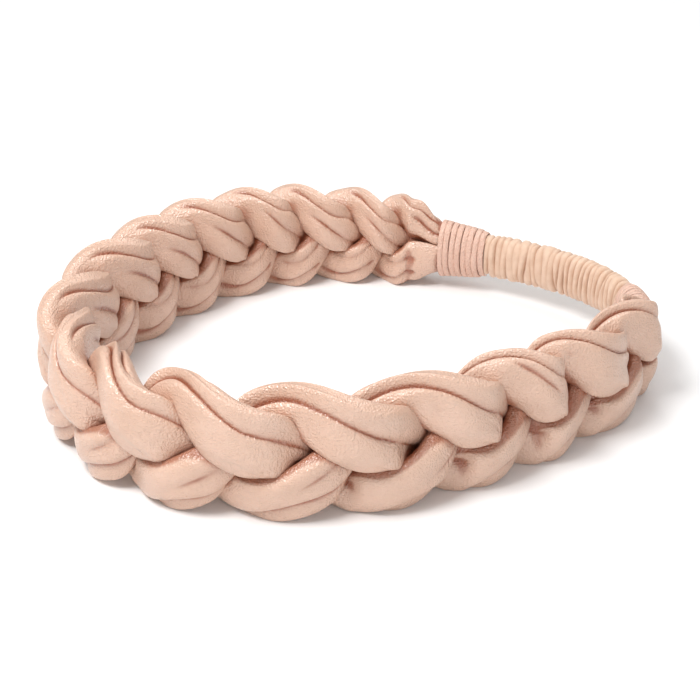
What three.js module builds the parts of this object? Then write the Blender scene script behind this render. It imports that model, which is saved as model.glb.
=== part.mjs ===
// A braided leather headband: three soft leather tubes braided into a flat band, both braid ends bound with
// a wound leather lace, and a gathered fabric casing over a flat elastic that closes the loop at the back.
// The band stands on its lower edge. Units are millimetres, +Z is up, and the origin is at the middle of the
// loop on the surface that it stands on.
//
// Every shape is laid out in band coordinates (s, w, u): s runs along the loop's centre line, anticlockwise
// seen from above, with 0 at the middle of the braid; w points out of the loop; u points up.

import * as THREE from "three";

// ---------------------------------------------------------------- driving dimensions

const LOOP_HALF_WIDTH = 92.5; // centre line's semi-axis along X
const LOOP_HALF_DEPTH = 75.6; // centre line's semi-axis along Y
const LOOP_SHIFT_X = -1.5; // puts the origin at the middle of the finished loop
const LOOP_SHIFT_Y = 0.5;
// How the plan departs from an ellipse, as shares of the radius.
const LOOP_SIN_2 = 0.08;
const LOOP_COS_3 = 0.04;
const LOOP_SIN_3 = -0.009;
const LOOP_COS_4 = 0.01;
const LOOP_SIN_4 = 0.008;
const BRAID_MIDDLE_ANGLE = 219.5; // degrees round the plan from +X to the middle of the braid

const BRAID_HEIGHT_MIDDLE = 46;
const BRAID_HEIGHT_LEFT_END = 32;
const BRAID_HEIGHT_RIGHT_END = 39;
const BRAID_DEPTH_MIDDLE = 19; // from the loop's inner face to its outer face
const BRAID_DEPTH_END = 14.5;
// The braider's own rhythm: the distance from the left binding to the first crest of the upper edge, from
// each crest to the next, and from the last crest to the right binding. They share out the braid's length.
const CREST_GAPS = [11, 17, 22, 20, 23, 23, 25, 32, 28, 28, 31, 37, 38, 31, 24, 30, 14, 5];
const SPARE_GAP = 16; // between the crests that the tubes would have inside the bindings
// How much the runs that come off the upper edge cover the runs that come off the lower edge.
const OVERLAP = 0.35;
// Near this crest the braid is pulled so that the tubes reach the lower edge sooner than half way.
const PULL_CREST = 13.2;
const PULL_SPREAD = 2.2; // in crests
const PULL = 0.7; // radians of a tube's turn

const ELASTIC_LENGTH = 62; // between the two bindings, unstretched
const ELASTIC_HEIGHT = 10;
const ELASTIC_THICKNESS = 1.4;
const CASING_ROOM_HIGH = 1.1; // between the elastic's edge and the casing, above and below
const CASING_ROOM_DEEP = 1.65; // between the elastic's face and the casing, inside and outside
const CASING_WALL = 0.9;
const CASING_RUFFLE = 0.5; // how far the gathers rise and fall
const CASING_RUFFLE_LENGTH = 5; // from one gather to the next
const CASING_HEIGHT = ELASTIC_HEIGHT + 2 * (CASING_ROOM_HIGH + CASING_WALL + CASING_RUFFLE);
const CASING_DEPTH = ELASTIC_THICKNESS + 2 * (CASING_ROOM_DEEP + CASING_WALL + CASING_RUFFLE);

const BINDING_LENGTH = 20;
const BUNDLE_HEIGHT_AT_BRAID = 19.5; // what the lace is wound round, at the braid's side of the binding
const BUNDLE_DEPTH_AT_BRAID = 11.5;
const LACE_THICKNESS = 1;
const LACE_TURNS = 8;
const TAIL_LENGTH = 10.5; // how far the leather tubes reach into a binding
const GATHER_LENGTH = 8; // over which the braid narrows into its binding
const SETTLE = 1.1; // how far the braid's own weight flattens its lower edge

const CLEARANCE = 0.35; // between pieces that touch
const STRAND_GAP = 2.1; // between neighbouring tubes of the braid
const FLEX_GAP = 0.8; // between the two halves of each tube, where the band flexes

// ---------------------------------------------------------------- mesh fineness

const CENTRE_LINE_STEPS = 1440;
const STRAND_SIDES = 12;
const STATIONS_PER_CREST = 6;
const FIELD_STEPS_PER_CREST = 10;
const FIELD_REACH = 24; // how far along the band a tube's neighbours are looked for
const TAIL_STATIONS = 3;
const LACE_STEPS_PER_TURN = 12;
const CASING_SIDES = 10;
const CASING_STEPS_PER_RUFFLE = 2;
const ELASTIC_STEPS = 16;
const RADIUS_STEP = 0.06; // of a tube's half width, in the search for its outline
const RADIUS_HALVINGS = 10;

// ---------------------------------------------------------------- the loop's centre line

function planPoint(angle) {
  const radius =
    1 +
    LOOP_SIN_2 * Math.sin(2 * angle) +
    LOOP_COS_3 * Math.cos(3 * angle) +
    LOOP_SIN_3 * Math.sin(3 * angle) +
    LOOP_COS_4 * Math.cos(4 * angle) +
    LOOP_SIN_4 * Math.sin(4 * angle);
  return new THREE.Vector2(
    LOOP_SHIFT_X + LOOP_HALF_WIDTH * Math.cos(angle) * radius,
    LOOP_SHIFT_Y + LOOP_HALF_DEPTH * Math.sin(angle) * radius,
  );
}

const centreLine = [];
for (let i = 0; i <= CENTRE_LINE_STEPS; i++) {
  const angle = THREE.MathUtils.degToRad(BRAID_MIDDLE_ANGLE) + (i / CENTRE_LINE_STEPS) * 2 * Math.PI;
  const point = planPoint(angle);
  const before = centreLine[i - 1];
  centreLine.push({ point, s: before ? before.s + point.distanceTo(before.point) : 0 });
}
const LOOP_LENGTH = centreLine[CENTRE_LINE_STEPS].s;
const BRAID_LENGTH = LOOP_LENGTH - ELASTIC_LENGTH - 2 * BINDING_LENGTH;
const BRAID_END = BRAID_LENGTH / 2; // the braid runs from -BRAID_END to BRAID_END
const BINDING_END = BRAID_END + BINDING_LENGTH;

// The centre line's point and outward direction at s, which may run past either end of the loop.
function centreAt(s) {
  const wrapped = ((s % LOOP_LENGTH) + LOOP_LENGTH) % LOOP_LENGTH;
  let low = 0;
  let high = CENTRE_LINE_STEPS;
  while (high - low > 1) {
    const middle = (low + high) >> 1;
    if (centreLine[middle].s <= wrapped) low = middle;
    else high = middle;
  }
  const share = (wrapped - centreLine[low].s) / (centreLine[high].s - centreLine[low].s);
  const point = centreLine[low].point.clone().lerp(centreLine[high].point, share);
  const ahead = tangentAt(low).lerp(tangentAt(high), share).normalize();
  return { point, outward: new THREE.Vector2(ahead.y, -ahead.x) };
}

function tangentAt(index) {
  const before = centreLine[(index + CENTRE_LINE_STEPS - 1) % CENTRE_LINE_STEPS].point;
  const after = centreLine[(index + 1) % CENTRE_LINE_STEPS].point;
  return after.clone().sub(before).normalize();
}

// From band coordinates to the part's frame. Whatever would reach below the surface lies flat on it.
function place(s, w, u) {
  const { point, outward } = centreAt(s);
  const plan = point.clone().addScaledVector(outward, w);
  return new THREE.Vector3(plan.x, plan.y, Math.max(0, middleHeight(s) + u));
}

// ---------------------------------------------------------------- sizes along the band

const smooth = (x) => THREE.MathUtils.smoothstep(x, 0, 1);
const mix = THREE.MathUtils.lerp;

// From 1 in the open braid to 0 at a binding.
const openness = (s) => smooth((BRAID_END - Math.abs(s)) / GATHER_LENGTH);

// The shape that the laces are wound round: the gathered tubes at one end, the casing at the other.
function bundleAt(s) {
  const share = THREE.MathUtils.clamp((Math.abs(s) - BRAID_END) / BINDING_LENGTH, 0, 1);
  return {
    height: mix(BUNDLE_HEIGHT_AT_BRAID, CASING_HEIGHT + 2 * CLEARANCE, share),
    depth: mix(BUNDLE_DEPTH_AT_BRAID, CASING_DEPTH + 2 * CLEARANCE, share),
  };
}

// From 0 at the braid's left end to 1 at its right end, and back to 0 along the elastic.
function rightness(s) {
  const fromLeft = (((s + BRAID_END) % LOOP_LENGTH) + LOOP_LENGTH) % LOOP_LENGTH;
  if (fromLeft <= BRAID_LENGTH) return smooth(fromLeft / BRAID_LENGTH);
  return 1 - smooth((fromLeft - BRAID_LENGTH) / (LOOP_LENGTH - BRAID_LENGTH));
}

function braidAt(s) {
  const across = Math.min(1, Math.abs(s) / BRAID_END) ** 2;
  const endHeight = mix(BRAID_HEIGHT_LEFT_END, BRAID_HEIGHT_RIGHT_END, rightness(s));
  return {
    height: mix(BRAID_HEIGHT_MIDDLE, endHeight, across),
    depth: mix(BRAID_DEPTH_MIDDLE, BRAID_DEPTH_END, across),
  };
}

// The band's middle stays at half the braid's height, and at its end height along the elastic.
function middleHeight(s) {
  return braidAt(s).height / 2 - SETTLE;
}

// ---------------------------------------------------------------- the three-strand braid

const CREST_OFFSET = 3; // crests that lie before the first one on the braid
const CRESTS_AFTER = 5;
const gapsTotal = CREST_GAPS.reduce((total, gap) => total + gap);
const crests = [];
for (let i = CREST_OFFSET; i > 0; i--) crests.push(CREST_GAPS[0] - i * SPARE_GAP);
let reached = 0;
for (const gap of CREST_GAPS.slice(0, -1)) {
  reached += gap;
  crests.push(reached);
}
for (let i = 1; i <= CRESTS_AFTER; i++) crests.push(reached + i * SPARE_GAP);

// Where the upper edge's crest number n lies along the band, for any n between whole crests too.
function crestPosition(n) {
  const i = THREE.MathUtils.clamp(Math.floor(n) + CREST_OFFSET, 1, crests.length - 3);
  const t = n + CREST_OFFSET - i;
  const [a, b, c, d] = crests.slice(i - 1, i + 3);
  const along =
    b + 0.5 * t * (c - a + t * (2 * a - 5 * b + 4 * c - d + t * (3 * b - a - 3 * c + d)));
  return (along / gapsTotal - 0.5) * BRAID_LENGTH;
}

function crestNumber(s) {
  let low = -CREST_OFFSET + 1;
  let high = CREST_GAPS.length + CRESTS_AFTER - 3;
  for (let i = 0; i < 40; i++) {
    const middle = (low + high) / 2;
    if (crestPosition(middle) < s) low = middle;
    else high = middle;
  }
  return low;
}

// A tube's own ellipse: half its width across the band's face, and half its thickness.
function tubeSize(s) {
  const open = openness(s);
  const braid = braidAt(s);
  const bundle = bundleAt(s);
  const thickness = mix(bundle.depth, braid.depth, open) / 4;
  return {
    wide: mix(bundle.height * 0.36, braid.height / 4, open),
    thick: mix(thickness * 1.5, thickness, open),
    swingUp: mix(bundle.height * 0.25, braid.height / 4, open),
    swingOut: mix(thickness * 0.9, thickness * 1.15, open),
  };
}

// A tube swings from the top edge to the bottom edge and back once in three crests, and in to out twice.
// It comes off either edge on the outer face, and goes back to it on the inner face. Inside a binding the
// three tubes lie side by side without turning.
function tubeCentre(strand, n) {
  const s = crestPosition(n);
  const turned = THREE.MathUtils.clamp(n, 0, CREST_GAPS.length);
  const even = (2 * Math.PI * (turned - strand)) / 3;
  const pull = PULL * Math.exp(-(((turned - PULL_CREST) / PULL_SPREAD) ** 2));
  const phase = even + (pull * (1 - Math.cos(even))) / 2;
  const size = tubeSize(s);
  const out = Math.sin(2 * phase) + OVERLAP * Math.sin(phase);
  return new THREE.Vector3(s, size.swingOut * out, size.swingUp * Math.cos(phase));
}

// Ellipsoids strung along each tube. Their shared outside is the tube before its neighbours press on it.
const firstBead = (-CREST_OFFSET + 1) * FIELD_STEPS_PER_CREST;
const lastBead = (CREST_GAPS.length + CRESTS_AFTER - 3) * FIELD_STEPS_PER_CREST;
const beads = [0, 1, 2].map((strand) => {
  const made = [];
  for (let i = firstBead; i <= lastBead; i++) {
    const n = i / FIELD_STEPS_PER_CREST;
    const centre = tubeCentre(strand, n);
    const ahead = tubeCentre(strand, n + 0.01).sub(tubeCentre(strand, n - 0.01)).normalize();
    const outward = new THREE.Vector3(0, 1, 0).addScaledVector(ahead, -ahead.y).normalize();
    made.push({ centre, ahead, outward, across: ahead.clone().cross(outward), ...tubeSize(centre.x) });
  }
  return made;
});

// How far a point is from a tube's centre line, where 1 is the tube's own surface.
function depthIn(strand, point, nearby) {
  const offset = new THREE.Vector3();
  let least = Infinity;
  for (const bead of nearby[strand]) {
    offset.copy(point).sub(bead.centre);
    const squared =
      (offset.dot(bead.outward) / bead.thick) ** 2 +
      (offset.dot(bead.across) / bead.wide) ** 2 +
      (offset.dot(bead.ahead) / bead.thick) ** 2;
    least = Math.min(least, squared);
  }
  return Math.sqrt(least);
}

// The outline of one tube in the plane across the band at s: its own ellipse, pressed flat where its
// neighbours are nearer, and held inside the lace where it is bound.
function strandOutline(strand, s) {
  const nearby = beads.map((list) => list.filter((bead) => Math.abs(bead.centre.x - s) < FIELD_REACH));
  const centre = tubeCentre(strand, crestNumber(s));
  centre.x = s;
  const size = tubeSize(s);
  const others = [0, 1, 2].filter((other) => other !== strand);
  const bound = Math.abs(s) > BRAID_END - CLEARANCE;
  const bundle = bundleAt(s);
  const fits = (point) => {
    if (bound && (2 * point.y / bundle.depth) ** 2 + (2 * point.z / bundle.height) ** 2 > 1) return false;
    const own = depthIn(strand, point, nearby);
    const gap = STRAND_GAP / size.thick;
    return own <= 1 && others.every((other) => depthIn(other, point, nearby) > own + gap);
  };
  const outline = [];
  for (let i = 0; i < STRAND_SIDES; i++) {
    const angle = (2 * Math.PI * (i + 0.5)) / STRAND_SIDES;
    const direction = new THREE.Vector3(0, size.thick * Math.cos(angle), size.wide * Math.sin(angle));
    let inside = RADIUS_STEP;
    while (fits(centre.clone().addScaledVector(direction, inside + RADIUS_STEP))) inside += RADIUS_STEP;
    let outside = inside + RADIUS_STEP;
    for (let j = 0; j < RADIUS_HALVINGS; j++) {
      const middle = (inside + outside) / 2;
      if (fits(centre.clone().addScaledVector(direction, middle))) inside = middle;
      else outside = middle;
    }
    const point = centre.clone().addScaledVector(direction, inside);
    outline.push(place(s, point.y, point.z));
  }
  return outline;
}

// Stations from one binding to the flex plane. side is -1 on the left half and 1 on the right half.
function strandStations(side) {
  const stations = [];
  for (let i = 0; i < TAIL_STATIONS; i++) {
    stations.push(side * (BRAID_END + TAIL_LENGTH * (1 - i / TAIL_STATIONS)));
  }
  stations.push(side * (BRAID_END - CLEARANCE / 2));
  const from = crestNumber(side * (BRAID_END - GATHER_LENGTH / 4));
  const to = crestNumber((side * FLEX_GAP) / 2);
  const count = Math.ceil(Math.abs(to - from) * STATIONS_PER_CREST);
  for (let i = 0; i <= count; i++) stations.push(crestPosition(mix(from, to, i / count)));
  return side < 0 ? stations : stations.reverse();
}

// ---------------------------------------------------------------- lofting

function closedGeometry(points, faces) {
  const geometry = new THREE.BufferGeometry();
  const coordinates = points.flatMap((p) => [p.x, p.y, p.z]);
  geometry.setAttribute("position", new THREE.Float32BufferAttribute(coordinates, 3));
  geometry.setIndex(faces.flat());
  geometry.computeVertexNormals();
  return geometry;
}

// Quads between neighbouring rings of a loft; turned swaps the way they face.
function sideFaces(rings, sides, first, turned) {
  const faces = [];
  for (let i = 0; i + 1 < rings; i++) {
    for (let j = 0; j < sides; j++) {
      const a = first + i * sides + j;
      const b = first + i * sides + ((j + 1) % sides);
      const c = a + sides;
      const d = b + sides;
      faces.push(turned ? [a, b, c] : [a, c, b], turned ? [b, d, c] : [b, c, d]);
    }
  }
  return faces;
}

// A solid through rings of points, each running the same way round, with a cap at both ends.
function loft(rings) {
  const sides = rings[0].length;
  const points = rings.flat();
  const faces = sideFaces(rings.length, sides, 0, false);
  for (const [ring, start, turned] of [
    [rings[0], 0, false],
    [rings[rings.length - 1], (rings.length - 1) * sides, true],
  ]) {
    const hub = points.length;
    const middle = new THREE.Vector3();
    ring.forEach((p) => middle.addScaledVector(p, 1 / sides));
    points.push(middle);
    for (let j = 0; j < sides; j++) {
      const a = start + j;
      const b = start + ((j + 1) % sides);
      faces.push(turned ? [hub, b, a] : [hub, a, b]);
    }
  }
  return closedGeometry(points, faces);
}

// A tube with a wall and open ends, through pairs of outer and inner rings.
function loftTube(outer, inner) {
  const sides = outer[0].length;
  const innerFirst = outer.length * sides;
  const points = [...outer.flat(), ...inner.flat()];
  const faces = [
    ...sideFaces(outer.length, sides, 0, false),
    ...sideFaces(inner.length, sides, innerFirst, true),
  ];
  for (const [start, turned] of [
    [0, false],
    [(outer.length - 1) * sides, true],
  ]) {
    for (let j = 0; j < sides; j++) {
      const a = start + j;
      const b = start + ((j + 1) % sides);
      const c = innerFirst + a;
      const d = innerFirst + b;
      faces.push(turned ? [a, c, b] : [a, b, c], turned ? [b, c, d] : [b, d, c]);
    }
  }
  return closedGeometry(points, faces);
}

// An oval across the band at s, with a little more corner than an ellipse.
function oval(s, depth, height, sides) {
  const ring = [];
  for (let j = 0; j < sides; j++) {
    const angle = (2 * Math.PI * j) / sides;
    ring.push(place(s, (depth / 2) * Math.cos(angle), (height / 2) * Math.sin(angle)));
  }
  return ring;
}

// ---------------------------------------------------------------- pieces

function makeStrandHalf(strand, side) {
  return loft(strandStations(side).map((s) => strandOutline(strand, s)));
}

// The elastic's run passes the back of the loop, from inside the right binding to inside the left one.
const ELASTIC_FROM = BRAID_END + TAIL_LENGTH + 2 * CLEARANCE;
const ELASTIC_TO = LOOP_LENGTH - ELASTIC_FROM;

function makeElastic() {
  const rings = [];
  for (let i = 0; i <= ELASTIC_STEPS; i++) {
    const s = mix(ELASTIC_FROM, ELASTIC_TO, i / ELASTIC_STEPS);
    const w = ELASTIC_THICKNESS / 2;
    const u = ELASTIC_HEIGHT / 2;
    rings.push([place(s, w, -u), place(s, w, u), place(s, -w, u), place(s, -w, -u)]);
  }
  return loft(rings);
}

function makeCasing() {
  const ruffles = Math.round((ELASTIC_TO - ELASTIC_FROM) / CASING_RUFFLE_LENGTH);
  const steps = ruffles * CASING_STEPS_PER_RUFFLE;
  const outer = [];
  const inner = [];
  for (let i = 0; i <= steps; i++) {
    const s = mix(ELASTIC_FROM, ELASTIC_TO, i / steps);
    const inBinding = s < BINDING_END || s > LOOP_LENGTH - BINDING_END;
    const drop = inBinding || i % CASING_STEPS_PER_RUFFLE === 0 ? CASING_RUFFLE : 0;
    outer.push(oval(s, CASING_DEPTH - 2 * drop, CASING_HEIGHT - 2 * drop, CASING_SIDES));
    inner.push(
      oval(s, ELASTIC_THICKNESS + 2 * CASING_ROOM_DEEP, ELASTIC_HEIGHT + 2 * CASING_ROOM_HIGH, CASING_SIDES),
    );
  }
  return loftTube(outer, inner);
}

// One flat lace wound in touching turns from the braid to the casing.
function makeLace(side) {
  const steps = LACE_TURNS * LACE_STEPS_PER_TURN;
  const turnLength = (BINDING_LENGTH - CLEARANCE) / (LACE_TURNS + 1);
  const halfWidth = (turnLength - CLEARANCE) / 2;
  const rings = [];
  for (let i = 0; i <= steps; i++) {
    const turns = i / LACE_STEPS_PER_TURN;
    const angle = 2 * Math.PI * turns;
    const middle = BRAID_END + CLEARANCE + turnLength * (turns + 0.5);
    const corners = [];
    for (const [along, out] of [
      [-halfWidth, CLEARANCE],
      [halfWidth, CLEARANCE],
      [halfWidth, CLEARANCE + LACE_THICKNESS],
      [-halfWidth, CLEARANCE + LACE_THICKNESS],
    ]) {
      const bundle = bundleAt(middle + along);
      const w = (bundle.depth / 2 + out) * Math.cos(angle);
      const u = (bundle.height / 2 + out) * Math.sin(angle);
      corners.push(place(side * (middle + along), w, u));
    }
    rings.push(side < 0 ? corners.reverse() : corners);
  }
  return loft(rings);
}

// ---------------------------------------------------------------- the headband

const leather = new THREE.MeshStandardMaterial({ color: 0xe3b999, roughness: 0.5, metalness: 0 });
const laceLeather = new THREE.MeshStandardMaterial({ color: 0xe4b49c, roughness: 0.65, metalness: 0 });
const casingFabric = new THREE.MeshStandardMaterial({ color: 0xe3c8a6, roughness: 0.9, metalness: 0 });
const elasticWebbing = new THREE.MeshStandardMaterial({ color: 0xf1ece2, roughness: 0.85, metalness: 0 });

const headband = new THREE.Group();

function add(name, geometry, material) {
  const mesh = new THREE.Mesh(geometry, material);
  mesh.name = name;
  headband.add(mesh);
}

for (const [side, sideName] of [
  [-1, "left"],
  [1, "right"],
]) {
  ["a", "b", "c"].forEach((letter, strand) => {
    add(`strand_${letter}_${sideName}`, makeStrandHalf(strand, side), leather);
  });
  add(`${sideName}_binding_lace`, makeLace(side), laceLeather);
}
add("elastic_casing", makeCasing(), casingFabric);
add("elastic_core", makeElastic(), elasticWebbing);

export default headband;
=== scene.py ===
"""A braided leather headband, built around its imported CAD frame. Metres, +Z up.

Shapes are laid out in band coordinates (s, w, u) in millimetres, as in the CAD part: s runs along the
loop's centre line, anticlockwise from above, with 0 at the middle of the braid; w points out of the loop;
u points up from the band's middle height.
"""

import math

import bpy
import numpy as np
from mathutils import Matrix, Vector


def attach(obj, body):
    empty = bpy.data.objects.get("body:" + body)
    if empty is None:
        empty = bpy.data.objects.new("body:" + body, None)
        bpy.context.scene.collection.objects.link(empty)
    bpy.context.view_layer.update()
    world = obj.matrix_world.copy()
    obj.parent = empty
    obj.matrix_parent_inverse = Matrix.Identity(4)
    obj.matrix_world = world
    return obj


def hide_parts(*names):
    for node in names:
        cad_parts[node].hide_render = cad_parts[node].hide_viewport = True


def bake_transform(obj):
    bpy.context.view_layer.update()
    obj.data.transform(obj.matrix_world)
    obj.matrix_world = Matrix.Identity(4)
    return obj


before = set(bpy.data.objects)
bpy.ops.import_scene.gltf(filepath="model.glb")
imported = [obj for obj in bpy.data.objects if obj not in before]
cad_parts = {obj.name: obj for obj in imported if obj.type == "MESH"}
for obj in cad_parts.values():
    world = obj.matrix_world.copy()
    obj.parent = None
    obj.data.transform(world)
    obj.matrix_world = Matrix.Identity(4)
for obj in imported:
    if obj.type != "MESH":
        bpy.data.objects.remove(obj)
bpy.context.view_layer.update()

MM = 0.001

# ---------------------------------------------------------------- the band's sizes, in mm
# They are the CAD part's, apart from BRAID_DEPTH, GATHER_LENGTHS and OVERLAP, which suit the folded skins.

LOOP_HALF_WIDTH = 92.5
LOOP_HALF_DEPTH = 75.6
LOOP_SHIFT = (-1.5, 0.5)
BRAID_MIDDLE_ANGLE = 219.5
BRAID_HEIGHT_MIDDLE = 46.0
BRAID_HEIGHT_ENDS = (32.0, 39.0)  # left and right
BRAID_DEPTH = (17.5, 14.0)  # at the middle and at the ends, before the folds
SPARE_GAP = 16.0  # between the crests that the tubes would have inside the bindings
CREST_GAPS = [11, 17, 22, 20, 23, 23, 25, 32, 28, 28, 31, 37, 38, 31, 24, 30, 14, 5]
PULL_CREST, PULL_SPREAD, PULL = 13.2, 2.2, 0.7
ELASTIC_LENGTH = 62.0
ELASTIC_HEIGHT = 10.0
ELASTIC_THICKNESS = 1.4
CASING_HEIGHT = 15.0
CASING_DEPTH = 7.5
BINDING_LENGTH = 20.0
BUNDLE_AT_BRAID = (19.5, 11.5)
CLEARANCE = 0.35
TAIL_LENGTH = 10.5
GATHER_LENGTHS = (8.0, 14.0)  # left and right: where the tubes narrow towards their binding
SETTLE = 1.1  # how far the braid sags onto the floor
OVERLAP = 0.12  # how much the runs from the upper edge cover the others
CRESTS = len(CREST_GAPS)


def plan_point(angle):
    radius = (
        1
        + 0.08 * np.sin(2 * angle)
        + 0.04 * np.cos(3 * angle)
        - 0.009 * np.sin(3 * angle)
        + 0.01 * np.cos(4 * angle)
        + 0.008 * np.sin(4 * angle)
    )
    x = LOOP_SHIFT[0] + LOOP_HALF_WIDTH * np.cos(angle) * radius
    y = LOOP_SHIFT[1] + LOOP_HALF_DEPTH * np.sin(angle) * radius
    return np.stack([x, y], -1)


_angles = math.radians(BRAID_MIDDLE_ANGLE) + np.linspace(0, 2 * np.pi, 7201)
_line = plan_point(_angles)
_line_s = np.concatenate([[0], np.cumsum(np.hypot(*np.diff(_line, axis=0).T))])
LOOP_LENGTH = _line_s[-1]
_ahead = np.gradient(np.concatenate([_line[-2:-1], _line, _line[1:2]]), axis=0)[1:-1]
_ahead /= np.linalg.norm(_ahead, axis=1, keepdims=True)

BRAID_LENGTH = LOOP_LENGTH - ELASTIC_LENGTH - 2 * BINDING_LENGTH
BRAID_END = BRAID_LENGTH / 2
BINDING_END = BRAID_END + BINDING_LENGTH


def centre_at(s):
    """The centre line's point and its outward direction at s."""
    wrapped = np.mod(s, LOOP_LENGTH)
    point = np.stack([np.interp(wrapped, _line_s, _line[:, i]) for i in (0, 1)], -1)
    ahead = np.stack([np.interp(wrapped, _line_s, _ahead[:, i]) for i in (0, 1)], -1)
    ahead /= np.linalg.norm(ahead, axis=-1, keepdims=True)
    return point, np.stack([ahead[..., 1], -ahead[..., 0]], -1)


def smooth(x):
    """An even step from 0 to 1."""
    x = np.clip(x, 0, 1)
    return x * x * (3 - 2 * x)


def mix(a, b, t):
    """a where t is 0, b where t is 1."""
    return a + (b - a) * t


def rightness(s):
    """From 0 at the braid's left end to 1 at its right end, and back to 0 along the elastic."""
    from_left = np.mod(s + BRAID_END, LOOP_LENGTH)
    back = 1 - smooth((from_left - BRAID_LENGTH) / (LOOP_LENGTH - BRAID_LENGTH))
    return np.where(from_left <= BRAID_LENGTH, smooth(from_left / BRAID_LENGTH), back)


def braid_size(s):
    """The braid's height and depth at s."""
    across = np.minimum(1, np.abs(s) / BRAID_END) ** 2
    height = mix(BRAID_HEIGHT_MIDDLE, mix(*BRAID_HEIGHT_ENDS, rightness(s)), across)
    return height, mix(*BRAID_DEPTH, across)


def bundle_size(s):
    """The height and depth of what a lace is wound round, at s."""
    share = np.clip((np.abs(s) - BRAID_END) / BINDING_LENGTH, 0, 1)
    height = mix(BUNDLE_AT_BRAID[0], CASING_HEIGHT + 2 * CLEARANCE, share)
    return height, mix(BUNDLE_AT_BRAID[1], CASING_DEPTH + 2 * CLEARANCE, share)


def place(s, w, u, rest=0.5):
    """From band coordinates to metres. What would reach below the floor is pressed flat on it."""
    point, outward = centre_at(s)
    z = braid_size(s)[0] / 2 - SETTLE + u
    z = 0.5 * (z + np.sqrt(z * z + rest * rest)) if rest else z
    xy = point + outward * np.asarray(w)[..., None]
    return np.concatenate([xy, z[..., None]], -1) * MM


# ---------------------------------------------------------------- mesh and object helpers


def make_mesh(name, points, faces, material):
    mesh = bpy.data.meshes.new(name)
    mesh.from_pydata(points, [], faces)
    mesh.validate()
    mesh.polygons.foreach_set("use_smooth", [True] * len(mesh.polygons))
    mesh.materials.append(material)
    mesh.update()
    piece = bpy.data.objects.new(name, mesh)
    bpy.context.scene.collection.objects.link(piece)
    return piece


def tube_faces(rings, sides):
    """Faces of a closed loft of equal rings. A hub point for each end follows the rings' points."""
    i, j = np.meshgrid(np.arange(rings - 1), np.arange(sides), indexing="ij")
    k = (j + 1) % sides
    quads = np.stack([i * sides + j, (i + 1) * sides + j, (i + 1) * sides + k, i * sides + k], -1)
    faces = quads.reshape(-1, 4).tolist()
    first, last = rings * sides, rings * sides + 1
    end = (rings - 1) * sides
    for a in range(sides):
        b = (a + 1) % sides
        faces.append([first, a, b])
        faces.append([last, end + b, end + a])
    return faces


def loft(name, rings, material):
    """A closed solid through an array of rings, shaped (rings, sides, 3), with its faces turned outward."""
    count, sides = rings.shape[:2]
    hubs = np.stack([rings[0].mean(0), rings[-1].mean(0)])
    points = np.concatenate([rings.reshape(-1, 3), hubs])
    faces = tube_faces(count, sides)
    a, b, c, d = (points[[face[i] for face in faces]] for i in (0, 1, 2, -1))
    volume = (a * (np.cross(b, c) + np.cross(c, d))).sum() / 6
    if volume < 0:
        faces = [face[::-1] for face in faces]
    return make_mesh(name, points.tolist(), faces, material)


def store(piece, name, values):
    """Keeps one number, or one vector, per point of a lofted piece, for its material."""
    if values.ndim == 3:
        values = np.concatenate([values.reshape(-1, 3), values[0, :1], values[-1, :1]]).astype(np.float32)
        piece.data.attributes.new(name, "FLOAT_VECTOR", "POINT").data.foreach_set("vector", values.ravel())
        return
    values = np.concatenate([np.ravel(values), [0, 0]]).astype(np.float32)
    piece.data.attributes.new(name, "FLOAT", "POINT").data.foreach_set("value", values)


# ---------------------------------------------------------------- materials


def new_material(name):
    material = bpy.data.materials.new(name)
    material.use_nodes = True
    nodes = material.node_tree.nodes
    return material, nodes, material.node_tree.links, nodes["Principled BSDF"]


def add_node(nodes, kind, **inputs):
    node = nodes.new("ShaderNode" + kind)
    for key, value in inputs.items():
        if key in node.bl_rna.properties:
            setattr(node, key, value)
        else:
            node.inputs[key.replace("_", " ")].default_value = value
    return node


def ramp(nodes, stops):
    node = nodes.new("ShaderNodeValToRGB")
    elements = node.color_ramp.elements
    while len(elements) < len(stops):
        elements.new(0.5)
    for element, (position, colour) in zip(elements, stops):
        element.position = position
        element.color = (*colour, 1)
    return node


# Painted shade: the colours are multiplied by these in hollows, creases and grooves and beside neighbouring
# parts.
LEATHER_PAINTED_SHADE = (0.52, 0.25, 0.16, 1)  # what the leather's colour is multiplied by in its hollows
FABRIC_PAINTED_SHADE = (0.6, 0.42, 0.3, 1)
GRAIN_HEIGHT = 0.0004  # of the leather's grain, in metres
WRINKLE_HEIGHT = 2.6  # in grain heights
WRINKLES_PER_METRE = (850, 210, 210)  # along a tube, and round it


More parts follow.
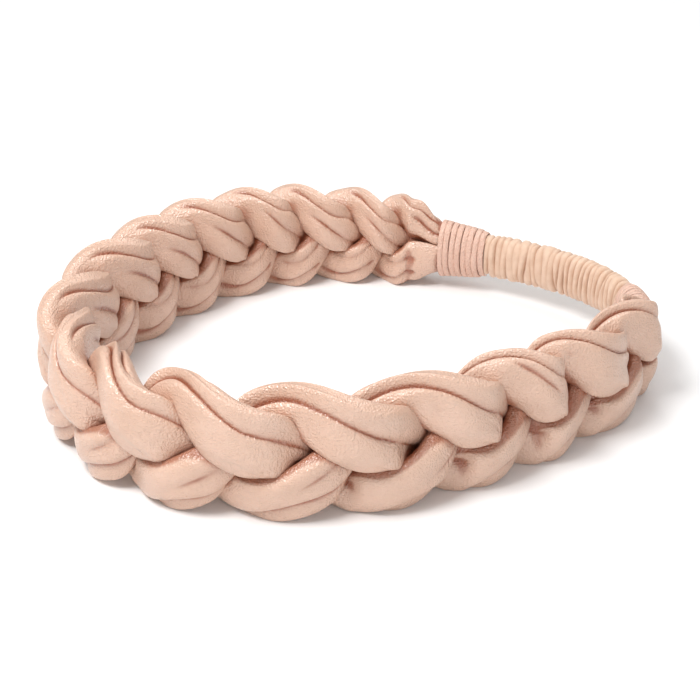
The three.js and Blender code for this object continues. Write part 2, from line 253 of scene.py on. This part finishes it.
def leather_material(name, tone, deep, light, roughness, fibre=0.0, coat=0.0):
    """Soft leather: pebble grain, pores, faint mottling, and painted shade, darker and redder, in its
    hollows and creases. fibre roughens it as on a cut lace, and coat is the sheen of its finish."""
    material, nodes, links, shader = new_material(name)
    place_at = add_node(nodes, "TexCoord").outputs["Object"]

    mottle = add_node(nodes, "TexNoise", Scale=55.0, Detail=5.0, Roughness=0.6)
    links.new(place_at, mottle.inputs["Vector"])
    colours = ramp(nodes, [(0.3, deep), (0.52, tone), (0.72, light)])
    links.new(mottle.outputs["Fac"], colours.inputs["Fac"])

    # Painted shade: the colour is darkened and reddened where the hollow attribute marks creases, hollows
    # and contact lines.
    hollow = add_node(nodes, "Attribute", attribute_name="hollow")
    darken = add_node(nodes, "Mix", data_type="RGBA", blend_type="MULTIPLY")
    links.new(hollow.outputs["Fac"], darken.inputs[0])
    links.new(colours.outputs["Color"], darken.inputs[6])
    darken.inputs[7].default_value = LEATHER_PAINTED_SHADE
    links.new(darken.outputs[2], shader.inputs["Base Color"])

    pebbles = add_node(nodes, "TexVoronoi", Scale=1500.0, feature="SMOOTH_F1", Smoothness=0.5)
    stretch = add_node(nodes, "TexNoise", Scale=420.0, Detail=3.0, Roughness=0.6)
    pores = add_node(nodes, "TexNoise", Scale=2300.0, Detail=2.0)
    creasing = add_node(nodes, "TexNoise", Scale=160.0, Detail=6.0, Roughness=0.65, Distortion=0.6)
    height = None
    for texture, socket, share in (
        (pebbles, "Distance", 0.8),
        (stretch, "Fac", 0.3),
        (pores, "Fac", 0.15),
        (creasing, "Fac", 0.25 + fibre),
    ):
        links.new(place_at, texture.inputs["Vector"])
        scaled = add_node(nodes, "Math", operation="MULTIPLY")
        links.new(texture.outputs[socket], scaled.inputs[0])
        scaled.inputs[1].default_value = share
        if height is None:
            height = scaled
            continue
        total = add_node(nodes, "Math", operation="ADD")
        links.new(height.outputs[0], total.inputs[0])
        links.new(scaled.outputs[0], total.inputs[1])
        height = total

    # Short wrinkles across the leather, beside its creases and tucks.
    straight = add_node(nodes, "Attribute", attribute_name="straightened")
    squeeze = add_node(nodes, "Mapping")
    squeeze.inputs["Scale"].default_value = WRINKLES_PER_METRE
    links.new(straight.outputs["Vector"], squeeze.inputs["Vector"])
    wrinkles = add_node(nodes, "TexNoise", Scale=1.0, Detail=2.0, Roughness=0.5, Distortion=0.5)
    links.new(squeeze.outputs["Vector"], wrinkles.inputs["Vector"])
    wrinkled = add_node(nodes, "Attribute", attribute_name="wrinkled")
    masked = add_node(nodes, "Math", operation="MULTIPLY")
    links.new(wrinkles.outputs["Fac"], masked.inputs[0])
    links.new(wrinkled.outputs["Fac"], masked.inputs[1])
    total = add_node(nodes, "Math", operation="MULTIPLY_ADD")
    links.new(masked.outputs[0], total.inputs[0])
    total.inputs[1].default_value = WRINKLE_HEIGHT
    links.new(height.outputs[0], total.inputs[2])
    bump = add_node(nodes, "Bump", Strength=1.0, Distance=GRAIN_HEIGHT)
    links.new(total.outputs[0], bump.inputs["Height"])
    links.new(bump.outputs["Normal"], shader.inputs["Normal"])
    links.new(bump.outputs["Normal"], shader.inputs["Coat Normal"])

    wear = add_node(nodes, "MapRange")
    links.new(stretch.outputs["Fac"], wear.inputs["Value"])
    wear.inputs["To Min"].default_value = roughness - 0.07
    wear.inputs["To Max"].default_value = roughness + 0.08
    links.new(wear.outputs["Result"], shader.inputs["Roughness"])
    shader.inputs["Specular IOR Level"].default_value = 0.75
    shader.inputs["Coat Weight"].default_value = coat
    shader.inputs["Coat Roughness"].default_value = 0.24
    shader.inputs["Subsurface Weight"].default_value = 0.05
    shader.inputs["Subsurface Radius"].default_value = (0.003, 0.0015, 0.001)
    shader.inputs["Subsurface Scale"].default_value = 0.4
    return material


def casing_material():
    """Matt stretch fabric with a fine weave, and painted shade, slightly darker and warmer, in its pleats'
    valleys.
    """
    material, nodes, links, shader = new_material("casing_fabric")
    place_at = add_node(nodes, "TexCoord").outputs["Object"]
    mottle = add_node(nodes, "TexNoise", Scale=300.0, Detail=4.0)
    links.new(place_at, mottle.inputs["Vector"])
    colours = ramp(nodes, [(0.3, (0.68, 0.465, 0.335)), (0.7, (0.77, 0.57, 0.435))])
    links.new(mottle.outputs["Fac"], colours.inputs["Fac"])
    # Painted shade: the colour is darkened where the hollow attribute marks the pleats' valleys.
    hollow = add_node(nodes, "Attribute", attribute_name="hollow")
    darken = add_node(nodes, "Mix", data_type="RGBA", blend_type="MULTIPLY")
    links.new(hollow.outputs["Fac"], darken.inputs[0])
    links.new(colours.outputs["Color"], darken.inputs[6])
    darken.inputs[7].default_value = FABRIC_PAINTED_SHADE
    links.new(darken.outputs[2], shader.inputs["Base Color"])
    threads = add_node(nodes, "TexNoise", Scale=2600.0, Detail=2.0)
    links.new(place_at, threads.inputs["Vector"])
    bump = add_node(nodes, "Bump", Strength=0.5, Distance=0.0003)
    links.new(threads.outputs["Fac"], bump.inputs["Height"])
    links.new(bump.outputs["Normal"], shader.inputs["Normal"])
    shader.inputs["Roughness"].default_value = 0.85
    shader.inputs["Sheen Weight"].default_value = 0.25
    return material


# ---------------------------------------------------------------- the braid's three leather tubes

# Where the upper edge's crests lie, and a smooth table between crest number and s.
_gaps = np.array(CREST_GAPS, float)
_crests = np.cumsum(_gaps[:-1])
_crests = np.concatenate(
    [_crests[0] - SPARE_GAP * np.arange(3, 0, -1), _crests, _crests[-1] + SPARE_GAP * np.arange(1, 6)]
)


def crest_position(n):
    """Where crest number n lies along the band. Number 0 is the left end of the braid."""
    n = np.asarray(n, float)
    i = np.clip(np.floor(n).astype(int) + 3, 1, len(_crests) - 3)
    t = n + 3 - i
    a, b, c, d = (_crests[i + k] for k in (-1, 0, 1, 2))
    along = b + 0.5 * t * (c - a + t * (2 * a - 5 * b + 4 * c - d + t * (3 * b - a - 3 * c + d)))
    return (along / _gaps.sum() - 0.5) * BRAID_LENGTH


_table_n = np.linspace(-1.9, CRESTS + 1.9, 6000)
_table_s = crest_position(_table_n)


def crest_number(s):
    """The crest number, with a fraction, at s."""
    return np.interp(s, _table_s, _table_n)


def tube_size(s):
    """Half width, half thickness, swing up and down, swing out and in of a tube at s."""
    gather_length = np.where(np.asarray(s) < 0, *GATHER_LENGTHS)
    is_open = smooth((BRAID_END - np.abs(s)) / gather_length)
    height, depth = braid_size(s)
    bundle_height, bundle_depth = bundle_size(s)
    thin = mix(bundle_depth, depth, is_open) / 4
    wide = mix(bundle_height * 0.36, height * 0.27, is_open)
    thick = mix(thin * 1.5, thin * 1.12, is_open)
    swing_up = mix(bundle_height * 0.25, height * 0.24, is_open)
    swing_out = mix(thin * 0.9, thin * 1.2, is_open)
    return wide, thick, swing_up, swing_out


def tube_phase(strand, n):
    """A tube's turn in the braid: 0 where it tops the band, half a turn where it runs along the foot."""
    n = np.clip(n, 0, CRESTS)
    even_phase = 2 * np.pi * (n - strand) / 3
    pull = PULL * np.exp(-(((n - PULL_CREST) / PULL_SPREAD) ** 2))
    return even_phase + pull * (1 - np.cos(even_phase)) / 2


def tube_centre(strand, n):
    """A tube's centre line in band coordinates, in a figure of eight across the band."""
    s = crest_position(n)
    wide, thick, swing_up, swing_out = tube_size(s)
    phase = tube_phase(strand, n)
    return s, swing_out * (np.sin(2 * phase) + OVERLAP * np.sin(phase)), swing_up * np.cos(phase)


def over_under(phase):
    """How far a tube presses over its neighbours, in half sizes: the upper runs lie over the lower ones,
    most of all on the outer face."""
    upper = 0.1 * np.maximum(0, np.cos(phase)) ** 0.5 - 0.04
    return upper + 0.18 * np.maximum(0, np.cos(phase - np.radians(62))) ** 3


STATIONS = 600  # along a tube
SIDES = 160  # round a tube
COARSE = 2  # the tubes' packing is worked out on every second station and side
REACHES = 16  # steps in the search outward from a tube's middle
FARTHEST = 1.5  # the longest radius, in half sizes
SKIN_GAP = 0.03  # between two tubes, in half sizes
BEAD_REACH = 1.9  # how far along the band other beads matter, in half widths
SKIN_BLUR, TOUCH_BLUR, RADIUS_BLUR = 26, 24, 4  # passes along a tube
PRESS_ROUNDING = 0.45  # where a skin turns into a pressed side, in half sizes
WRINKLE_RADIUS = 14.0  # of the straight tube that the wrinkles are laid out on, in mm

_bead_n = np.linspace(-1.5, CRESTS + 1.5, 640)  # each tube's centre line, as a row of beads
_bead_s = crest_position(_bead_n)
_bead_size = tube_size(_bead_s)
_stretch_s = np.linspace(-BRAID_END - 40, BRAID_END + 40, 4000)
_stretch = np.concatenate([[0], np.cumsum(np.diff(_stretch_s) / tube_size(_stretch_s)[0][1:])])


def even(s):
    """s measured in half widths, so that a tube is round in (even(s), w / thick, u / wide)."""
    return np.interp(s, _stretch_s, _stretch)


BEADS = []
for _strand in range(3):
    _s, _w, _u = tube_centre(_strand, _bead_n)
    _points = np.stack([even(_s), _w / _bead_size[1], _u / _bead_size[0]], -1)
    BEADS.append((_points, over_under(tube_phase(_strand, _bead_n))))


def nearness(points, near, strand):
    """Distance from points to a tube's centre line, less how far the tube presses over others."""
    beads, lift = BEADS[strand]
    beads, lift = beads[near], lift[near]
    squared = (points**2).sum(-1)[:, None] - 2 * points @ beads.T + (beads**2).sum(-1)[None]
    return np.sqrt(np.maximum(squared, 1e-9)) - lift[None]


def first_crossing(values, reach):
    """Where each column of values first falls below 0 along reach, or beyond its end."""
    below = values < 0
    rows = np.argmax(below, 0)
    found = below.any(0)
    out = np.full(values.shape[1], FARTHEST + 0.5)
    out[found & (rows == 0)] = reach[0]
    columns = np.nonzero(found & (rows > 0))[0]
    rows = rows[columns]
    before, after = values[rows - 1, columns], values[rows, columns]
    out[columns] = reach[rows - 1] + before / (before - after) * (reach[rows] - reach[rows - 1])
    return out


def finer(values):
    """The coarse field, interpolated to every station and side."""
    count, sides = values.shape
    rows = np.linspace(0, count - 1, STATIONS)
    low = np.minimum(rows.astype(int), count - 2)
    values = mix(values[low], values[low + 1], (rows - low)[:, None])
    columns = (np.arange(SIDES) + 0.5) / COARSE - 0.5
    low = np.floor(columns).astype(int)
    return mix(values[:, low % sides], values[:, (low + 1) % sides], (columns - low)[None])


def strand_shape(strand):
    """Outline radii of a tube, in its own half sizes, in the planes across the band at each station:
    as far as its own skin, and as far as the first neighbour."""
    count, sides = STATIONS // COARSE, SIDES // COARSE
    s = np.linspace(-BRAID_END - TAIL_LENGTH, BRAID_END + TAIL_LENGTH, count)
    n = crest_number(s)
    wide, thick, _, _ = tube_size(s)
    _, centre_w, centre_u = tube_centre(strand, n)
    alpha = 2 * np.pi * (np.arange(sides) + 0.5) / sides
    reach = np.linspace(0.04, FARTHEST, REACHES)
    skin = np.ones((count, sides))
    touch = np.ones((count, sides))
    others = [k for k in range(3) if k != strand]
    even_s = even(s)
    bead_even = BEADS[0][0][:, 0]
    lift = over_under(tube_phase(strand, n))
    for i in range(count):
        near = np.abs(bead_even - even_s[i]) < BEAD_REACH
        w = centre_w[i] / thick[i] + reach[:, None] * np.cos(alpha)
        u = centre_u[i] / wide[i] + reach[:, None] * np.sin(alpha)
        points = np.stack([np.full(w.shape, even_s[i]), w, u], -1).reshape(-1, 3)
        own = nearness(points, near, strand).min(1).reshape(w.shape)
        rival = np.minimum(*[nearness(points, near, k).min(1) for k in others]).reshape(w.shape)
        skin[i] = np.minimum(first_crossing(1 - lift[i] - own, reach), FARTHEST)
        touch[i] = first_crossing(rival - own - SKIN_GAP, reach)
    return finer(skin), finer(touch)


def soft_least(a, b, k):
    """The lesser of a and b, rounded where they meet."""
    h = np.clip(0.5 + 0.5 * (b - a) / k, 0, 1)
    return mix(b, a, h) - k * h * (1 - h)


def blur(values, steps, along=0):
    """Evens out an array, round the tube (along=1) or along it (along=0)."""
    for _ in range(steps):
        if along:
            values = (np.roll(values, 1, 1) + 2 * values + np.roll(values, -1, 1)) / 4
        else:
            padded = np.concatenate([values[:1], values, values[-1:]])
            values = (padded[:-2] + 2 * values + padded[2:]) / 4
    return values


def build_strand(strand, name, material):
    """One leather tube, packed against the other two, with its folds, and painted shade in its hollows and
    creases and beside its neighbours.
    """
    skin, touch = strand_shape(strand)
    s = np.linspace(-BRAID_END - TAIL_LENGTH, BRAID_END + TAIL_LENGTH, STATIONS)
    n = crest_number(s)
    alpha = 2 * np.pi * (np.arange(SIDES) + 0.5) / SIDES
    wide, thick, _, _ = tube_size(s)
    _, centre_w, centre_u = tube_centre(strand, n)
    cos, sin = np.cos(alpha)[None], np.sin(alpha)[None]
    # Millimetres per unit of radius, in each direction.
    scale = np.sqrt((thick[:, None] * cos) ** 2 + (wide[:, None] * sin) ** 2)
    skin = blur(skin, SKIN_BLUR)
    touch = blur(blur(touch, 2, 1), TOUCH_BLUR)
    radius = soft_least(skin, touch, PRESS_ROUNDING)
    radius = blur(blur(radius, 1, 1), RADIUS_BLUR)

    moved, shade, pinch = strand_folds(strand, n, alpha, scale)
    radius = np.maximum(radius + moved / scale, 0.25 * radius)
    w = centre_w[:, None] + radius * thick[:, None] * cos
    u = centre_u[:, None] + radius * wide[:, None] * sin
    # The bindings hold the tubes' ends in.
    bound = smooth((np.abs(s) - BRAID_END + 1.5) / 3)[:, None]
    height, depth = (side[:, None] for side in bundle_size(s))
    spread = np.sqrt((2 * w / depth) ** 2 + (2 * u / height) ** 2)
    hold = mix(1, np.minimum(1, 1 / np.maximum(spread, 1e-6)), bound)
    w, u = w * hold, u * hold
    rings = place(np.broadcast_to(s[:, None], w.shape), w, u)
    piece = loft(name, rings, material)
    # Painted shade: the leather's colour is darkened beside its neighbours, in wide and in fine hollows,
    # and along its creases and tucks.
    pressed = smooth((skin - touch + 0.07) / 0.26)
    deep = 0.5 * hollows(rings, (7, 9), 1.2 * MM) + 0.6 * hollows(rings) + 0.6 * shade + 0.8 * pressed
    store(piece, "hollow", np.clip(deep, 0, 1))
    store(piece, "wrinkled", np.clip(0.02 + pinch, 0, 1))
    # Where each point lies on a straight tube, so that wrinkles can run across the leather.
    straight = np.stack(np.broadcast_arrays(s[:, None], WRINKLE_RADIUS * cos, WRINKLE_RADIUS * sin), -1)
    store(piece, "straightened", straight * MM)
    return piece


def hollows(rings, steps=(3, 3), full=0.12 * MM):
    """How hollow a lofted surface is at each point, from 0 to 1: how far its neighbours stand above it."""
    along, round_it = steps
    padded = np.concatenate([rings[:1]] * along + [rings] + [rings[-1:]] * along)
    up, down = padded[2 * along :], padded[: -2 * along]
    left, right = np.roll(rings, round_it, 1), np.roll(rings, -round_it, 1)
    normal = np.cross(right - left, up - down)
    normal /= np.maximum(np.linalg.norm(normal, axis=-1, keepdims=True), 1e-12)
    middle = rings.mean(1, keepdims=True)
    outward = np.sign((normal * (rings - middle)).sum(-1, keepdims=True))
    above = (((up + down + left + right) / 4 - rings) * normal * outward).sum(-1)
    return np.clip(blur(blur(above, 1, 1), 1) / full, 0, 1)


CREASE_WIDTH = 0.18  # how far a crease's bottom is rounded, in mm
TUCK_RIPPLES = 11
TUCK_REACH = 2.6  # how far from a tuck's tip its ripples are highest, in mm
FOLD_SEED = 140


def strand_folds(strand, n, alpha, scale):
    """Creases and tucks of one tube: how far they move its surface, in mm, how much painted shade they get,
    and how much the leather wrinkles there."""
    moved = np.zeros(scale.shape)
    shade = np.zeros(scale.shape)
    pinch = np.zeros(scale.shape)
    number = n[:, None]

    def around(degrees):
        """Distance round the tube from an angle, in mm."""
        off = (alpha[None] - np.radians(degrees) + np.pi) % (2 * np.pi) - np.pi
        return off * scale

    def crease(first, last, path, depth, rolls, fade):
        """Two rolls of leather that meet in a tight line between two crest numbers, at the angles of path,
        in degrees. rolls are the widths of the roll above and of the one below, in mm. fade is how soon
        the line deepens and ends, in crest numbers."""
        window = smooth((number - first) / fade[0]) * smooth((last - number) / fade[1])
        if window.max() <= 0:
            return
        share = np.clip((number - first) / (last - first), 0, 1)
        off = around(np.interp(share, np.linspace(0, 1, len(path)), path))
        across = np.sqrt(off**2 + CREASE_WIDTH**2) / np.where(off > 0, *rolls)
        valley = 1 - np.sqrt(1 - (1 - np.clip(across, 0, 1)) ** 2)
        swell = np.exp(-(((across - 0.75) / 0.4) ** 2))
        moved[...] += depth * window * (0.16 * swell - valley)
        shade[...] += window**2 * np.exp(-np.abs(off) / 0.4) * min(1, depth / 3)
        pinch[...] += 0.5 * window * np.exp(-np.abs(off) / 1.8) * smooth(1.6 * (1 - np.abs(2 * share - 1)))

    def tuck(at, degrees, length, depth):
        """A pinch in the leather: a short, widening crease, with wrinkles fanning out from its tip."""
        along = crest_position(number) - float(crest_position(at))
        off = around(degrees)
        share = np.clip(along / length, 0, 1.6)
        width = 0.7 + 2.0 * share
        open_to = smooth(along / (0.5 * length)) * smooth((2.0 * length - along) / length)
        moved[...] -= depth * open_to * np.exp(-((off / width) ** 2)) * (0.4 + 0.6 * share)
        shade[...] += 0.15 * open_to * np.exp(-np.abs(off) / (0.45 * width))
        reach_to = np.hypot(along, off)
        fan = np.arctan2(off, -along)
        ripple = np.cos(TUCK_RIPPLES * fan + 2 * np.sin(2.3 * fan + at * 7))
        ripple = ripple * smooth((1.7 - np.abs(fan)) / 0.5)
        fall = (reach_to / TUCK_REACH) * np.exp(1 - reach_to / TUCK_REACH)
        moved[...] += 0.1 * min(1.4, depth) * ripple * fall * (reach_to < 6 * TUCK_REACH)
        pinch[...] += 0.5 * np.exp(-((reach_to / 6.0) ** 2))

    for k in range(strand - 3, CRESTS + 2, 3):
        # This tube tops the band at the crest numbers that are the same as its own, modulo 3.
        j = np.random.default_rng(FOLD_SEED + k).normal(size=24)
        size = 0.75 + 0.25 * float(np.clip(crest_position(k + 1) - crest_position(k), 12, 34)) / 34
        roll, narrow = 5.5 * size, 3.85 * size
        # outer face, coming down from the upper edge: an upper roll over one wide lobe
        a = 36 + 9 * j[0]
        path = [a + 70, a + 46, a + 14, a - 2, a - 8, a - 16]
        crease(k - 1, k + 1.3, path, 4.4 * size, (1.2 * roll, 1.3 * roll), (0.5, 0.1))
        if j[2] > -0.7:
            path = [a - 20, a - 36, a - 42, a - 40]
            crease(k + 0.45 + 0.1 * j[3], k + 1.3, path, 3.0 * size, (narrow, 0.9 * roll), (0.5, 0.1))
        if j[16] > -0.3:
            crease(k - 0.3, k + 0.6, [a - 2, a - 30, a - 50], 2.4 * size, (narrow, roll), (0.3, 0.4))
        tuck(k + 0.66 + 0.08 * j[4], -16 + 10 * j[5], 6.5, 2.0)
        # inner face, down to the lower edge: flat rolls side by side
        a = 214 + 8 * j[6]
        crease(k + 0.75, k + 1.95, [a + 4, a, a - 8], 2.8 * size, (0.9 * roll, 0.9 * roll), (0.1, 0.4))
        crease(k + 0.75, k + 1.75, [a - 38, a - 42, a - 46], 2.2 * size, (narrow, narrow), (0.1, 0.3))
        if j[9] > -0.2:
            crease(k + 0.8, k + 1.6, [a + 36, a + 34], 1.9 * size, (0.6 * roll, 0.6 * roll), (0.1, 0.3))
        # outer face, up from the lower edge: two or three rolls
        a = -46 + 7 * j[10]
        crease(k + 1.05, k + 2.75, [a - 14, a, a + 4, a + 14], 3.8 * size, (roll, roll), (0.4, 0.1))
        crease(k + 1.6, k + 2.75, [a + 38, a + 42, a + 46], 2.2 * size, (narrow, narrow), (0.5, 0.1))
        if j[13] > 0:
            tuck(k + 2.2, -8 + 8 * j[14], 4.0, 1.6)
        # inner face, up to the upper edge: three rolls
        a = 132 + 7 * j[15]
        crease(k + 2.0, k + 3.4, [a - 10, a, a + 2, a - 18], 3.2 * size, (roll, roll), (0.1, 0.4))
        crease(k + 2.0, k + 3.2, [a + 46, a + 44, a + 30], 3.0 * size, (0.8 * roll, 0.8 * roll), (0.1, 0.5))
    return moved, shade, pinch


leather = leather_material(
    "nude_leather", (0.685, 0.45, 0.338), (0.65, 0.416, 0.305), (0.72, 0.484, 0.373), 0.3, coat=0.45
)
lace_leather = leather_material(
    "lace_leather", (0.71, 0.46, 0.36), (0.67, 0.42, 0.32), (0.75, 0.51, 0.41), 0.55, fibre=0.6
)
casing_fabric = casing_material()

strands = [build_strand(k, f"strand_{letter}", leather) for k, letter in enumerate("abc")]

# ---------------------------------------------------------------- the bindings' laces

LACE_TURNS = 7.6
STEPS_PER_TURN = 96
LACE_MARGIN = 2.9  # the part of a binding's length that the lace leaves bare, in mm


def build_lace(side, name):
    """A flat leather lace wound from the braid towards the elastic, each turn over the edge of the last."""
    turns = LACE_TURNS
    turn = np.linspace(0, turns, int(turns * STEPS_PER_TURN) + 1)
    rng = np.random.default_rng(7 if side < 0 else 8)
    pitch = (BINDING_LENGTH - LACE_MARGIN) / turns
    knots = np.arange(0, 24) / 2.5
    wander = np.interp(turn, knots, rng.normal(scale=0.2, size=24))
    middle = BRAID_END + 1.5 + pitch * turn + wander
    angle = 2 * np.pi * turn + 0.8
    flat_end = smooth((turns - turn) / 0.9)
    # Across the lace: its own half width, and how high each part of its section stands.
    half = pitch / 2 - 0.02
    section = [(-1, 0.2), (-0.95, 0.5), (-0.78, 0.74), (-0.3, 0.82), (0.3, 0.86), (0.78, 0.8)]
    section += [(0.95, 0.56), (1, 0.2), (0.6, -0.2), (-0.6, -0.2)]
    rings = []
    edge = np.interp(turn, np.linspace(0, turns, 160), rng.normal(scale=0.06, size=160))
    for across, out in section:
        along = middle + across * (half + edge) + 0.45 * np.sin(angle + 0.6)
        height, depth = bundle_size(along)
        # Each turn leans on the one before, and the first turns stand a little prouder.
        lean = 0.15 * (1 - across) * smooth(turn / 0.8) + 0.3 * (1 - smooth(turn / 2.2)) * out
        stand = mix(0.1, CLEARANCE + 0.1, smooth((turns - turn) / 2))
        stand = stand + (out + lean) * mix(0.45, 1, flat_end)
        w = (depth / 2 + stand) * np.cos(angle)
        u = (height / 2 + stand) * np.sin(angle)
        rings.append(place(side * along, w, u, 0))
    rings = np.stack(rings, 1)
    piece = loft(name, rings, lace_leather)
    # Painted shade at the lace's edges, in the grooves where each turn meets the next.
    edges = np.array([0.5 if abs(across) > 0.97 else 0.0 for across, _ in section])
    store(piece, "hollow", np.broadcast_to(edges, rings.shape[:2]))
    return piece


laces = [build_lace(-1, "left_lace"), build_lace(1, "right_lace")]

# ---------------------------------------------------------------- the gathered elastic

CASING_PLEATS = 27
CASING_TUCK = 1.5  # how far the casing reaches under each binding, in mm


def build_casing():
    """The fabric casing, gathered in pleats round the elastic."""
    first, last = BINDING_END - CASING_TUCK, LOOP_LENGTH - BINDING_END + CASING_TUCK
    count, sides = 640, 96
    s = np.linspace(first, last, count)[:, None]
    alpha = (2 * np.pi * (np.arange(sides) + 0.5) / sides)[None]
    rng = np.random.default_rng(21)
    step = (last - first) / CASING_PLEATS
    moved = np.zeros((count, sides))
    shade = np.zeros((count, sides))
    for k in range(CASING_PLEATS + 1):
        here = first + k * step + rng.normal(scale=0.12 * step)
        slant, bend, wave = rng.normal(scale=0.5), rng.normal(scale=0.4), rng.uniform(0, 6.28)
        line = here + slant * np.sin(alpha) + bend * np.sin(2 * alpha + wave)
        depth = 1.0 + 0.25 * rng.normal()
        depth = depth * (0.75 + 0.3 * np.cos(alpha * 2 + rng.uniform(0, 6.28)))
        off = s - line
        moved -= depth * (1.0 * np.exp(-np.abs(off) / 0.45) + 0.3 * np.exp(-((off / 0.9) ** 2)))
        shade += np.exp(-np.abs(off) / 0.3) * np.clip(depth, 0, 1)
    cos, sin = np.cos(alpha), np.sin(alpha)
    depth, height = CASING_DEPTH + 0.9, CASING_HEIGHT + 0.9
    w = depth / 2 * np.sign(cos) * np.abs(cos) ** 0.78
    u = height / 2 * np.sign(sin) * np.abs(sin) ** 0.9
    size = np.hypot(w, u)
    grow = 1 + (moved + 0.5) / np.maximum(size, 1)
    hold = 1 - 0.05 * (smooth((first + 4 - s) / 4) + smooth((s - last + 4) / 4))
    rings = place(np.broadcast_to(s, moved.shape), w * grow * hold, u * grow * hold, 0)
    piece = loft("elastic_casing_fabric", rings, casing_fabric)
    # Painted shade in the pleats' valleys.
    store(piece, "hollow", np.clip(shade * 0.6, 0, 1))
    return piece


casing = build_casing()


def webbing_material():
    """Woven rubber-cored elastic: off-white, with ribs along its length and a fine weave across them."""
    material, nodes, links, shader = new_material("elastic_webbing")
    straight = add_node(nodes, "Attribute", attribute_name="straightened")
    mottle = add_node(nodes, "TexNoise", Scale=900.0, Detail=3.0)
    links.new(straight.outputs["Vector"], mottle.inputs["Vector"])
    colours = ramp(nodes, [(0.3, (0.7, 0.66, 0.58)), (0.7, (0.82, 0.79, 0.72))])
    links.new(mottle.outputs["Fac"], colours.inputs["Fac"])
    links.new(colours.outputs["Color"], shader.inputs["Base Color"])
    ribs = add_node(nodes, "TexWave", bands_direction="Z", Scale=160.0, Distortion=0.4)
    picks = add_node(nodes, "TexWave", bands_direction="X", Scale=330.0, Distortion=0.8)
    weave = add_node(nodes, "Math", operation="ADD")
    for texture, socket in ((ribs, 0), (picks, 1)):
        links.new(straight.outputs["Vector"], texture.inputs["Vector"])
        links.new(texture.outputs["Fac"], weave.inputs[socket])
    bump = add_node(nodes, "Bump", Strength=0.6, Distance=0.0003)
    links.new(weave.outputs[0], bump.inputs["Height"])
    links.new(bump.outputs["Normal"], shader.inputs["Normal"])
    shader.inputs["Roughness"].default_value = 0.8
    return material


def build_webbing():
    """The flat elastic inside the casing, which shows nowhere while the casing is whole."""
    first = BRAID_END + TAIL_LENGTH + 2 * CLEARANCE
    s = np.linspace(first, LOOP_LENGTH - first, 120)[:, None]
    alpha = (2 * np.pi * (np.arange(24) + 0.5) / 24)[None]
    cos, sin = np.cos(alpha), np.sin(alpha)
    w = ELASTIC_THICKNESS / 2 * np.sign(cos) * np.abs(cos) ** 0.4 + 0 * s
    u = ELASTIC_HEIGHT / 2 * np.sign(sin) * np.abs(sin) ** 0.7 + 0 * s
    rings = place(np.broadcast_to(s, w.shape), w, u, 0)
    piece = loft("elastic_webbing_strip", rings, webbing_material())
    straight = np.stack(np.broadcast_arrays(s, w, u), -1)
    store(piece, "straightened", straight * MM)
    return piece


webbing = build_webbing()

# ---------------------------------------------------------------- which CAD pieces these stand for

for letter, strand in zip("abc", strands):
    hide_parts(f"strand_{letter}_left", f"strand_{letter}_right")
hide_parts("left_binding_lace")
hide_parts("right_binding_lace")
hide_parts("elastic_casing")
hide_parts("elastic_core")
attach(laces[0], "left_half")
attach(laces[1], "right_half")

# The strands, casing and elastic have their placing baked into their meshes.
for piece in [*strands, casing, webbing]:
    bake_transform(piece)

# ---------------------------------------------------------------- floor, light and camera


def make_floor():
    material, nodes, links, shader = new_material("floor")
    shader.inputs["Base Color"].default_value = (0.93, 0.93, 0.93, 1)
    shader.inputs["Roughness"].default_value = 0.9
    grain = add_node(nodes, "TexNoise", Scale=40.0)
    bump = add_node(nodes, "Bump", Strength=0.02)
    links.new(grain.outputs["Fac"], bump.inputs["Height"])
    links.new(bump.outputs["Normal"], shader.inputs["Normal"])
    size = 4.0
    corners = [(-size, -size, 0), (size, -size, 0), (size, size, 0), (-size, size, 0)]
    mesh = bpy.data.meshes.new("floor")
    mesh.from_pydata(corners, [], [(0, 1, 2, 3)])
    mesh.materials.append(material)
    floor = bpy.data.objects.new("floor", mesh)
    bpy.context.scene.collection.objects.link(floor)


LIGHT_AIM = Vector((0, 0, 0.02))


def area_light(name, place_at, size, power):
    light = bpy.data.lights.new(name, "AREA")
    light.shape = "RECTANGLE"
    light.size, light.size_y = size
    light.energy = power
    lamp = bpy.data.objects.new(name, light)
    lamp.location = place_at
    lamp.rotation_euler = (LIGHT_AIM - Vector(place_at)).to_track_quat("-Z", "Y").to_euler()
    bpy.context.scene.collection.objects.link(lamp)


make_floor()
area_light("key", (-0.4, -0.25, 0.85), (0.4, 0.4), 8.0)
area_light("top", (0.2, 0.3, 1.1), (1.0, 1.0), 5.0)
area_light("front", (0.3, -1.1, 0.5), (1.0, 0.7), 3.0)
world = bpy.data.worlds.new("world")
world.use_nodes = True
world.node_tree.nodes["Background"].inputs["Color"].default_value = (1, 1, 1, 1)
world.node_tree.nodes["Background"].inputs["Strength"].default_value = 0.36
bpy.context.scene.world = world
bpy.context.scene.view_settings.view_transform = "Standard"

camera_data = bpy.data.cameras.new("camera")
camera_data.sensor_width = 36
camera_data.lens = 106.5
camera_data.shift_x = 0.0085
camera_data.shift_y = -0.0055
camera_data.clip_start = 0.01
camera = bpy.data.objects.new("camera", camera_data)
camera.location = (-0.0035, -0.6071, 0.365)
camera.rotation_euler = (math.radians(60), 0, 0)
bpy.context.scene.collection.objects.link(camera)
bpy.context.scene.camera = camera
